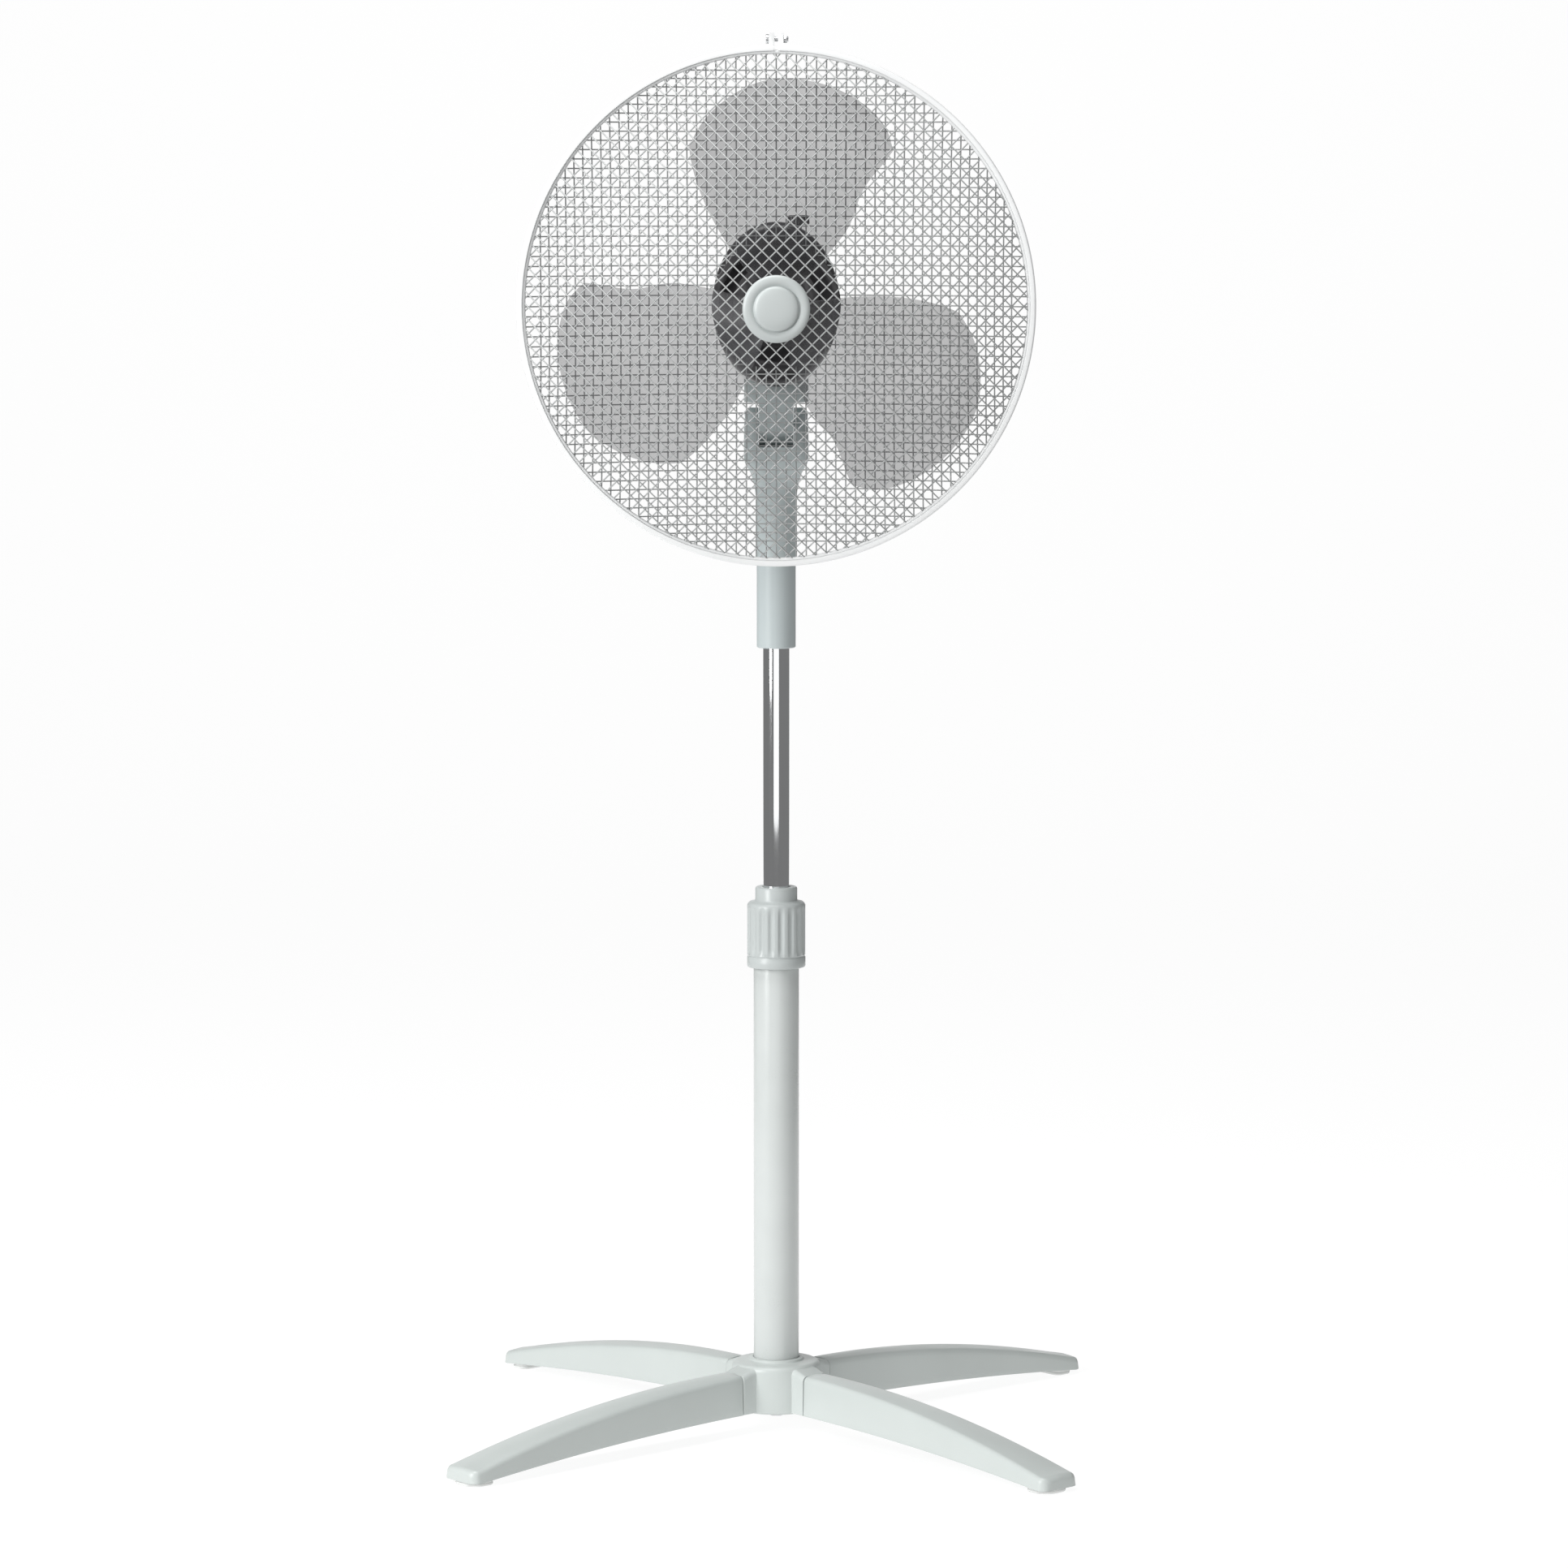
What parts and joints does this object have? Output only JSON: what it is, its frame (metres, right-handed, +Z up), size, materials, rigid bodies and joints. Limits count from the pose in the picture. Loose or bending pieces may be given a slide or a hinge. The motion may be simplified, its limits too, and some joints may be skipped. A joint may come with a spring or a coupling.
{
  "type": "pedestal fan",
  "caption": "Pedestal fan with a domed mesh guard, translucent blades, tilting and swinging head, telescopic chrome mast and arched cross base.",
  "frame": {"origin": "on the floor under the column's axis", "axes": "+Z up along the column, the fan blows towards -Y"},
  "size_m": [0.5414, 0.5414, 1.19],
  "materials": {
    "base_plastic": "satin",
    "pale_plastic": "satin",
    "grey_plastic": "satin",
    "dark_plastic": "glossy",
    "black_plastic": "matte",
    "blade_plastic": "smoked translucent",
    "tube_paint": "satin powder coat",
    "guard_paint": "gloss powder coat",
    "mesh_paint": "satin powder coat",
    "chrome": "mirror",
    "steel": "satin",
    "lamination": "matte",
    "copper_coil": "enamelled",
    "bronze": "oiled",
    "rubber": "matte"
  },
  "bodies": {
    "base": {"base_hub": "base_plastic", "leg_front_left": "base_plastic", "leg_front_right": "base_plastic", "leg_rear_left": "base_plastic", "leg_rear_right": "base_plastic", "leg_screws": "steel", "foot_pads": "rubber", "base_washer": "steel", "base_bolt": "steel", "tube_plug": "black_plastic", "lower_tube": "tube_paint", "collet": "black_plastic"},
    "collar": {"height_collar": "pale_plastic"},
    "mast": {"inner_tube": "chrome", "tube_bush": "black_plastic", "housing_front": "grey_plastic", "housing_rear": "grey_plastic", "housing_screws": "steel", "switch_block": "black_plastic", "capacitor": "black_plastic", "cord_inlet": "black_plastic", "tilt_bolt": "steel", "tilt_nut": "steel"},
    "key_0": {"speed_key_0": "pale_plastic"},
    "key_1": {"speed_key_1": "pale_plastic"},
    "key_2": {"speed_key_2": "pale_plastic"},
    "key_3": {"speed_key_3": "pale_plastic"},
    "mast_knob": {"mast_knob": "dark_plastic"},
    "neck": {"neck_bracket": "grey_plastic", "link_pin": "steel"},
    "head": {"swivel_post": "steel", "front_plate": "dark_plastic", "rear_cover": "dark_plastic", "cover_screws": "steel", "stator_core": "lamination", "stator_coils": "copper_coil", "front_bearing": "bronze", "rear_bearing": "bronze", "gearbox_case": "steel", "rear_guard_mesh": "mesh_paint", "rear_guard_rim": "guard_paint", "rear_guard_plate": "dark_plastic", "guard_nut": "dark_plastic", "front_guard_mesh": "mesh_paint", "front_guard_rim": "guard_paint", "guard_hoop": "guard_paint", "hoop_screw": "steel", "guard_badge": "pale_plastic", "badge_clip": "pale_plastic"},
    "rotor": {"motor_shaft": "steel", "rotor_core": "lamination", "worm": "steel", "fan_blades": "blade_plastic", "blade_pin": "steel", "spinner": "pale_plastic"},
    "worm_wheel": {"worm_wheel": "pale_plastic"},
    "crank": {"crank": "steel"},
    "link": {"link_arm": "steel"},
    "osc_knob": {"osc_knob": "dark_plastic"}
  },
  "joints": [
    {"name": "collar_turn", "type": "hinge", "parent": "base", "child": "collar", "pos_m": [0, 0, 0.4], "axis": [0, 0, 1], "range_deg": [0, 120]},
    {"name": "mast_slide", "type": "slide", "parent": "base", "child": "mast", "axis": [0, 0, 1], "range_m": [-0.2, 0.1]},
    {"name": "mast_knob_turn", "type": "hinge", "parent": "mast", "child": "mast_knob", "pos_m": [0, 0.025, 0.705], "axis": [0, 1, 0], "range_deg": [0, 360]},
    {"name": "head_tilt", "type": "hinge", "parent": "mast", "child": "neck", "pos_m": [0, 0, 0.866], "axis": [1, 0, 0], "range_deg": [-20, 15]},
    {"name": "head_swing", "type": "hinge", "parent": "neck", "child": "head", "pos_m": [0, 0, 0.903], "axis": [0, 0, 1], "range_deg": [-40, 40]},
    {"name": "rotor_spin", "type": "hinge", "parent": "head", "child": "rotor", "pos_m": [0, 0, 0.966], "axis": [0, -1, 0], "continuous": true},
    {"name": "worm_wheel_turn", "type": "hinge", "parent": "head", "child": "worm_wheel", "pos_m": [0.019, 0.046, 0.966], "axis": [0, 0, 1], "continuous": true},
    {"name": "crank_turn", "type": "hinge", "parent": "head", "child": "crank", "pos_m": [0.019, 0.046, 0.9255], "axis": [0, 0, 1], "range_deg": [-90, 90]},
    {"name": "link_turn", "type": "hinge", "parent": "neck", "child": "link", "pos_m": [-0.01256, 0.00725, 0.9225], "axis": [0, 0, 1], "range_deg": [-39, 39]},
    {"name": "osc_knob_pull", "type": "slide", "parent": "head", "child": "osc_knob", "axis": [0, 0, 1], "range_m": [0, 0.008]},
    {"name": "key_0_press", "type": "slide", "parent": "mast", "child": "key_0", "axis": [0, -1, 0], "range_m": [0, 0.0035], "stiffness_N_per_m": 400},
    {"name": "key_1_press", "type": "slide", "parent": "mast", "child": "key_1", "axis": [0, -1, 0], "range_m": [0, 0.0035], "stiffness_N_per_m": 400},
    {"name": "key_2_press", "type": "slide", "parent": "mast", "child": "key_2", "axis": [0, -1, 0], "range_m": [0, 0.0035], "stiffness_N_per_m": 400},
    {"name": "key_3_press", "type": "slide", "parent": "mast", "child": "key_3", "axis": [0, -1, 0], "range_m": [0, 0.0035], "stiffness_N_per_m": 400}
  ],
  "couplings": [
    {"joint": "worm_wheel_turn", "follows": "rotor_spin", "ratio": 0.041667},
    {"joint": "crank_turn", "follows": "head_swing", "ratio": 2.2225},
    {"joint": "link_turn", "follows": "head_swing", "ratio": 0.9725}
  ]
}
